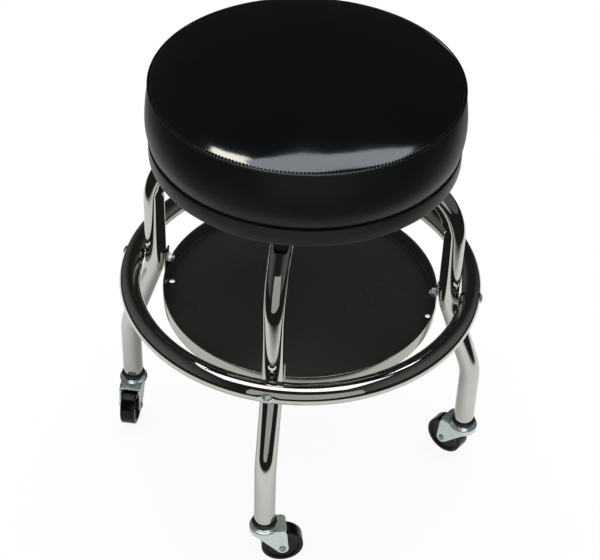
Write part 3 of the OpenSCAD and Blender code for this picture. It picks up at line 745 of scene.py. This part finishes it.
def makeStitches():
    # short lock stitches in a ring just inside the seam, each sunk at its ends
    v = stitchValues
    radius = v["seamRadius"] - v["inset"]
    height = crownHeight(radius / v["seamRadius"]) + v["lift"]
    deselectAll()
    bpy.ops.mesh.primitive_uv_sphere_add(segments=8, ring_count=6, radius=v["thick"] * mm)
    stitch = bpy.context.object
    stitch.name = "stitchMaster"
    bpy.ops.transform.resize(value=v["shape"])
    applyPlace(stitch)
    row = []
    uneven = random.Random(3)
    for i in range(v["count"]):
        spot = turned(360 * (i + 0.5) / v["count"]) @ moved(radius, 0, height)
        sway = turned(uneven.uniform(-v["sway"], v["sway"])) @ turned(v["lean"], "Y")
        row.append(copyPiece(stitch, "stitch%03d" % i, spot @ sway))
    bpy.data.objects.remove(stitch)
    return smoothByAngle(joinPieces(row[0], row[1:], "seamStitches"), 60)


place(makeStitches(), "seat", "vinyl_top", threadFinish)
print("stage: seam sewn")


# casters

casterValues = {"radius": 217.5, "trail": 21.6, "axleHeight": 25.4,
                "turns": {"front": 16, "right": 149, "back": 200, "left": 272}}
forkValues = {"front": 18.0, "reach": 26.2, "top": 57.0, "sheet": 2.0, "cheekIn": 11.8, "cheek": 7.0,
              "skirt": 6.5, "inset": 0.5, "lap": 0.8, "corner": 5.0, "skirtSink": 0.4, "cheekSink": 0.6}


def makeFork():
    v = forkValues
    out = v["cheekIn"] + v["sheet"]
    nose = math.sqrt(v["front"] ** 2 - out ** 2) - v["inset"]
    start = math.degrees(math.asin(out / v["front"]))
    corner = v["corner"]
    outline = arcPoints(v["reach"] - corner, -out + corner, corner, -90, 0, 6)
    outline += arcPoints(v["reach"] - corner, out - corner, corner, 0, 90, 6)
    outline += arcPoints(0, 0, v["front"], start, 360 - start, 28)
    fork = platePiece("forkMaster", outline, v["top"] - v["sheet"], v["top"])
    # front skirt, drawn down round the nose until it meets the cheeks
    end = 180 - math.degrees(math.acos((nose - v["lap"]) / v["front"]))
    skirt = arcPoints(0, 0, v["front"], end, 360 - end, 20)
    skirt += arcPoints(0, 0, v["front"] - v["sheet"], 360 - end, end, 20)
    skirtLow = v["top"] - v["skirt"]
    cutBy(fork, platePiece("noseSkirt", skirt, skirtLow, v["top"] - v["skirtSink"]), "UNION")
    # the two cheeks, whose front edges run straight on from the skirt to the round end at the axle
    trail, axle, cheek = casterValues["trail"], casterValues["axleHeight"], v["cheek"]
    across, drop = trail + nose, skirtLow - axle
    tilt = math.degrees(math.atan2(drop, across) + math.asin(cheek / math.hypot(across, drop)))
    back = v["top"] - v["cheekSink"]
    face = arcPoints(trail, axle, cheek, -90 - tilt, 0, 14)
    face += [(v["reach"], back - corner), (v["reach"] - corner * 0.3, back - corner * 0.3)]
    face += [(v["reach"] - corner, back), (-nose, back), (-nose, skirtLow)]
    for side in (-1, 1):
        cheekPiece = platePiece("cheek", face, 0, v["sheet"])
        low = v["cheekIn"] if side > 0 else -out
        stand = Matrix(((1, 0, 0, 0), (0, 0, -1, (low + v["sheet"]) * mm), (0, 1, 0, 0), (0, 0, 0, 1)))
        cheekPiece.data.transform(stand)
        cutBy(fork, cleanNormals(cheekPiece), "UNION")
    cleanNormals(fork)
    roundEdges(fork, 0.7, 3, 40)
    return smoothByAngle(fork, 40)


def layOnAxle(piece):
    # a piece that was turned round Z is laid along the axle
    piece.data.transform(moved(casterValues["trail"], 0, casterValues["axleHeight"]) @ turned(90, "X"))
    return smoothByAngle(piece, 40)


wheelValues = {"radius": 25.4, "half": 9.5, "hub": 11.5, "bore": 3.06, "corner": 2.0, "web": 7.0, "tread": 3.0}


def makeWheel():
    # hard wheel with rounded edges, dished faces and a raised hub
    v = wheelValues
    radius, half, hub, corner, web = v["radius"], v["half"], v["hub"], v["corner"], v["web"]
    edge = arcPoints(radius - corner, corner, corner, -90, 0, 6)
    # one face from the bore outwards: hub, dished web and the step up to the rim
    face = [(v["bore"], hub), (6.2, hub), (7.4, hub - 0.6), (7.9, web + 0.1), (9.0, web - 0.4)]
    face += [(radius - 7.2, web - 0.4), (radius - 5.8, web + 0.2)]
    face += [(radius - 5.1, half - 0.7), (radius - 4.6, half - 0.2)]
    profile = [(r, -z) for r, z in face] + [(r, -half + z) for r, z in edge]
    profile += [(radius, -v["tread"]), (radius, v["tread"])] + [(r, half - z) for r, z in reversed(edge)]
    profile += list(reversed(face)) + [(v["bore"], -hub)]
    return layOnAxle(turnedPiece("wheelMaster", profile, 72))


# the rivet head as (radius, height over the fork's cheek), from its dimple outwards
axleValues = {"shank": 3.0,
              "head": [(0, 0.7), (1.3, 0.7), (1.7, 1.3), (2.6, 1.5), (3.9, 1.1), (4.5, 0.4), (4.5, 0)]}


def makeAxle():
    # a rivet: plain shank, with a low round head formed at each end and a small dimple in it
    shank, head = axleValues["shank"], axleValues["head"]
    half = forkValues["cheekIn"] + forkValues["sheet"]
    profile = [(r, -half - z) for r, z in head] + [(shank, -half), (shank, half)]
    profile += [(r, half + z) for r, z in reversed(head)]
    return layOnAxle(turnedPiece("axleMaster", profile, 48))


def atEveryLeg(master, name):
    # one copy under each leg, joined into one piece
    copies = [copyPiece(master, name + str(i), turned(angle) @ moved(casterValues["radius"], 0, 0))
              for i, angle in enumerate(legAngles.values())]
    bpy.data.objects.remove(master)
    return joinPieces(copies[0], copies[1:], name)


# the cover's two rounded steps and its dome are arcs, each (radius, height, radius of the arc)
raceValues = {"bore": 5, "low": 57.3, "high": 62.7, "rim": 17.2, "lowStep": (16.8, 57.9, 0.6),
              "step": (15.7, 58.7), "highStep": (14.6, 59.6, 0.8), "dome": (9.2, 56.2, 6.45)}


def makeRaceCovers():
    # pressed in two steps, domed up to the collar
    v = raceValues
    profile = [(v["bore"], v["low"]), (v["rim"], v["low"])] + arcPoints(*v["lowStep"], -60, 80, 6)
    profile += [v["step"]] + arcPoints(*v["highStep"], -40, 70, 6) + arcPoints(*v["dome"], 50, 88, 8)
    profile += [(v["bore"], v["high"]), (v["bore"], v["low"])]
    return atEveryLeg(smoothByAngle(turnedPiece("raceMaster", profile, 72), 40), "raceCovers")


# (radius, height) points of the moulded plug, up its shouldered collar and into the leg
collarProfile = [(5, 62.7), (14.2, 62.7), (15, 63.4), (15, 64.5), (14.3, 65.0), (14.3, 65.7), (13.6, 66.2),
                 (11.1, 66.2), (11.1, 97.6), (10.5, 98.2), (5, 98.2), (5, 62.7)]


def makeCollars():
    return atEveryLeg(smoothByAngle(turnedPiece("collarMaster", collarProfile, 72), 40), "socketCollars")


forkMaster, wheelMaster, axleMaster = makeFork(), makeWheel(), makeAxle()
for legName, legAngle in legAngles.items():
    at = math.radians(legAngle)
    radius = casterValues["radius"]
    spot = moved(radius * math.cos(at), radius * math.sin(at), 0) @ turned(casterValues["turns"][legName])
    label = legName.title()
    body = "caster_" + legName
    place(copyPiece(forkMaster, "casterFork" + label, spot), body, "zinc", zincPlate, "fork_" + legName)
    place(copyPiece(axleMaster, "casterAxle" + label, spot), body, "zinc", rivetShadedZinc, "axle_" + legName)
    wheel = copyPiece(wheelMaster, "casterWheel" + label, spot)
    place(wheel, "wheel_body_" + legName, "wheel", wheelPlastic, "wheel_" + legName)
for master in (forkMaster, wheelMaster, axleMaster):
    bpy.data.objects.remove(master)
place(makeRaceCovers(), "frame", "zinc", raceZinc, "caster_races")
place(makeCollars(), "frame", "black_plastic", nylonBlack, "caster_sockets")
print("stage: casters made")


# finishes on what is carried over as it is

for node in ("ring_screws", "ring_washers", "ring_nuts", "leg_bolts", "leg_nuts", "swivel_base", "swivel_race",
             "king_bolt", "king_washer", "king_nut", "caster_stems", "swivel_top", "seat_screws"):
    setFinish(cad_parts[node], zincPlate)
setFinish(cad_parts["seat_board"], stainedPly)


# floor, lights and camera

stageValues = {"glow": 0.9, "paint": 0.96, "worldFill": 1.0, "sheetMiddle": (-0.07, 0.45, 0.0),
               "sheetReach": (0.76, 0.96), "sheetTone": 1.0, "beyondTone": 0.02,
               "shadeMiddle": (-0.06, 0.02, 0.0), "shadeReach": (0.08, 0.36), "shadeTone": 0.4,
               "canopyMiddleGlow": 0.02, "canopySideGlow": 0.13}


def makeFloor():
    # white to the eye everywhere, but what shines sees a round white sheet in a dark room, and the sheet is
    # shaded under the stool
    v = stageValues
    deselectAll()
    bpy.ops.mesh.primitive_plane_add(size=14, location=(0, 0, 0))
    floor = bpy.context.object
    floor.name = "floor"
    material = bpy.data.materials.new("studioFloor")
    material.use_nodes = True
    tree = material.node_tree
    tree.nodes.clear()
    rays = addNode(tree, "ShaderNodeLightPath")
    where = addNode(tree, "ShaderNodeTexCoord").outputs["Object"]
    offset = addNode(tree, "ShaderNodeVectorMath", {1: v["sheetMiddle"]}, {0: where}, operation="SUBTRACT")
    reach = v["sheetReach"]
    shrunk = addNode(tree, "ShaderNodeVectorMath", {1: (1 / reach[0], 1 / reach[1], 0)},
                     {0: offset.outputs[0]}, operation="MULTIPLY")
    away = addNode(tree, "ShaderNodeVectorMath", links={0: shrunk.outputs[0]}, operation="LENGTH")
    sheet = addNode(tree, "ShaderNodeMapRange", {"From Min": 0.97, "From Max": 1.12, "To Min": v["sheetTone"],
                    "To Max": v["beyondTone"]}, {"Value": away.outputs["Value"]},
                    interpolation_type="SMOOTHSTEP")
    middle = addNode(tree, "ShaderNodeVectorMath", {1: v["shadeMiddle"]}, {0: where}, operation="DISTANCE")
    near, far = v["shadeReach"]
    shade = addNode(tree, "ShaderNodeMapRange", {"From Min": near, "From Max": far, "To Min": v["shadeTone"],
                    "To Max": 1.0}, {"Value": middle.outputs["Value"]})
    shaded = addNode(tree, "ShaderNodeMath", links={0: sheet.outputs["Result"], 1: shade.outputs["Result"]},
                     operation="MULTIPLY")
    paint = addNode(tree, "ShaderNodeBsdfDiffuse", {"Color": (v["paint"],) * 3 + (1,)})
    glow = addNode(tree, "ShaderNodeEmission", {"Color": (1, 1, 1, 1), "Strength": 1.0})
    mirrored = addNode(tree, "ShaderNodeEmission", {"Color": (1, 1, 0.985, 1)},
                       {"Strength": shaded.outputs[0]})
    seen = addNode(tree, "ShaderNodeMath", {1: v["glow"]}, {0: rays.outputs["Is Camera Ray"]},
                   operation="MULTIPLY")
    plain = addNode(tree, "ShaderNodeMixShader",
                    links={0: seen.outputs[0], 1: paint.outputs[0], 2: glow.outputs[0]})
    both = addNode(tree, "ShaderNodeMixShader",
                   links={0: rays.outputs["Is Glossy Ray"], 1: plain.outputs[0], 2: mirrored.outputs[0]})
    addNode(tree, "ShaderNodeOutputMaterial", links={"Surface": both.outputs[0]})
    setFinish(floor, material)


def hideFromAllButShine(piece):
    # seen in reflections only, so it colours nothing and throws no shadow
    piece.visible_camera = False
    piece.visible_diffuse = False
    piece.visible_shadow = False
    piece.visible_transmission = False


def glowFinish(name, colour, strength):
    material = bpy.data.materials.new(name)
    material.use_nodes = True
    tree = material.node_tree
    tree.nodes.clear()
    glow = addNode(tree, "ShaderNodeEmission", {"Color": colour, "Strength": strength})
    addNode(tree, "ShaderNodeOutputMaterial", links={"Surface": glow.outputs[0]})
    return material


cardValues = {"frontGlowSheet": {"at": (0.38, -1.15, 0.48), "tilt": 90, "size": (1.44, 0.96), "strength": 0.55},
              "overheadGlowSheet": {"at": (0.0, -0.42, 2.57), "tilt": 0, "size": (2.3, 1.4), "strength": 2.2}}


def makeCards():
    # painted reflections: a grey glowing sheet low in front and a bright glowing sheet overhead, no lamps,
    # both seen only in the chrome and the gloss
    for name, v in cardValues.items():
        deselectAll()
        bpy.ops.mesh.primitive_plane_add(size=1, location=v["at"], rotation=(math.radians(v["tilt"]), 0, 0))
        card = bpy.context.object
        card.name = name
        card.scale = (v["size"][0], v["size"][1], 1)
        applyPlace(card)
        setFinish(card, glowFinish(name, (1, 1, 1, 1), v["strength"]))
        hideFromAllButShine(card)


def makeCanopy():
    # painted reflection of a dark studio ceiling and walls: a dim glowing dome, no lamp, that only metal and
    # gloss can see
    deselectAll()
    bpy.ops.mesh.primitive_uv_sphere_add(segments=48, ring_count=24, radius=4.0, location=(0, 0, 0))
    canopy = bpy.context.object
    canopy.name = "darkCanopy"
    bpy.ops.object.mode_set(mode="EDIT")
    bpy.ops.mesh.select_all(action="SELECT")
    bpy.ops.mesh.bisect(plane_co=(0, 0, 0.01), plane_no=(0, 0, 1), clear_inner=True)
    bpy.ops.object.mode_set(mode="OBJECT")
    cloth = glowFinish("canopyPaintedGlow", (1, 1, 1, 1), 1.0)
    tree = cloth.node_tree
    where = addNode(tree, "ShaderNodeTexCoord").outputs["Object"]
    axes = addNode(tree, "ShaderNodeSeparateXYZ", links={0: where})
    # painted light: the dome's glow rises towards its left and right sides
    aside = addNode(tree, "ShaderNodeMath", links={0: axes.outputs["X"]}, operation="ABSOLUTE")
    level = addNode(tree, "ShaderNodeMapRange", {"From Min": 1.2, "From Max": 3.8,
                    "To Min": stageValues["canopyMiddleGlow"], "To Max": stageValues["canopySideGlow"]},
                    {"Value": aside.outputs[0]}, interpolation_type="SMOOTHSTEP")
    tree.links.new(level.outputs["Result"], tree.nodes["Emission"].inputs["Strength"])
    setFinish(canopy, cloth)
    hideFromAllButShine(canopy)


def makeWorld():
    # plain white, both as the soft fill light and as the background
    world = bpy.data.worlds.new("studioWhite")
    bpy.context.scene.world = world
    world.use_nodes = True
    tree = world.node_tree
    tree.nodes.clear()
    fill = addNode(tree, "ShaderNodeBackground", {"Color": (1, 1, 1, 1), "Strength": stageValues["worldFill"]})
    white = addNode(tree, "ShaderNodeBackground", {"Color": (1, 1, 1, 1), "Strength": 1.0})
    rays = addNode(tree, "ShaderNodeLightPath")
    seen = addNode(tree, "ShaderNodeMath", operation="MAXIMUM",
                   links={0: rays.outputs["Is Camera Ray"], 1: rays.outputs["Is Glossy Ray"]})
    seenToo = addNode(tree, "ShaderNodeMath", operation="MAXIMUM",
                      links={0: seen.outputs[0], 1: rays.outputs["Is Transmission Ray"]})
    both = addNode(tree, "ShaderNodeMixShader",
                   links={0: seenToo.outputs[0], 1: fill.outputs[0], 2: white.outputs[0]})
    addNode(tree, "ShaderNodeOutputWorld", links={"Surface": both.outputs[0]})


lampValues = {"overheadSoftbox": {"at": (0.1, 0.9, 2.57), "turn": 24, "size": (1.5, 0.37), "glow": 4.7,
                                  "tint": (0.86, 0.93, 1.0)},
              "warmBounce": {"at": (-0.74, 0.76, 2.57), "turn": -20, "size": (0.4, 0.2), "glow": 18.0,
                             "tint": (1.0, 0.96, 0.84)}}


def addSoftboxes():
    # flat lamps above and behind; their radiance is set, and the power follows from the area
    for name, v in lampValues.items():
        lamp = bpy.data.lights.new(name, "AREA")
        lamp.shape = "RECTANGLE"
        lamp.size, lamp.size_y = v["size"]
        lamp.energy = math.pi * v["size"][0] * v["size"][1] * v["glow"]
        lamp.color = v["tint"]
        piece = bpy.data.objects.new(name, lamp)
        bpy.context.scene.collection.objects.link(piece)
        piece.matrix_world = Matrix.Translation(v["at"]) @ turned(v["turn"])


cameraValues = {"azimuth": 8.7738, "elevation": 40.4559, "roll": 1.9799, "lens": 96.502,
                "position": (0.226913, -1.474034, 1.531730)}


def makeCamera():
    # fitted to the outlines of the seat, legs, ring, tray and wheels in the photograph
    v = cameraValues
    lens = bpy.data.cameras.new("photoCamera")
    lens.lens = v["lens"]
    lens.sensor_width = 36
    lens.sensor_fit = "HORIZONTAL"
    camera = bpy.data.objects.new("photoCamera", lens)
    bpy.context.scene.collection.objects.link(camera)
    turn = turned(v["azimuth"]) @ turned(90 - v["elevation"], "X") @ turned(v["roll"])
    camera.matrix_world = Matrix.Translation(v["position"]) @ turn
    bpy.context.scene.camera = camera


makeFloor()
makeCanopy()
makeCards()
makeWorld()
addSoftboxes()
makeCamera()
bpy.context.scene.view_settings.view_transform = "Standard"

print("stage: scene ready")
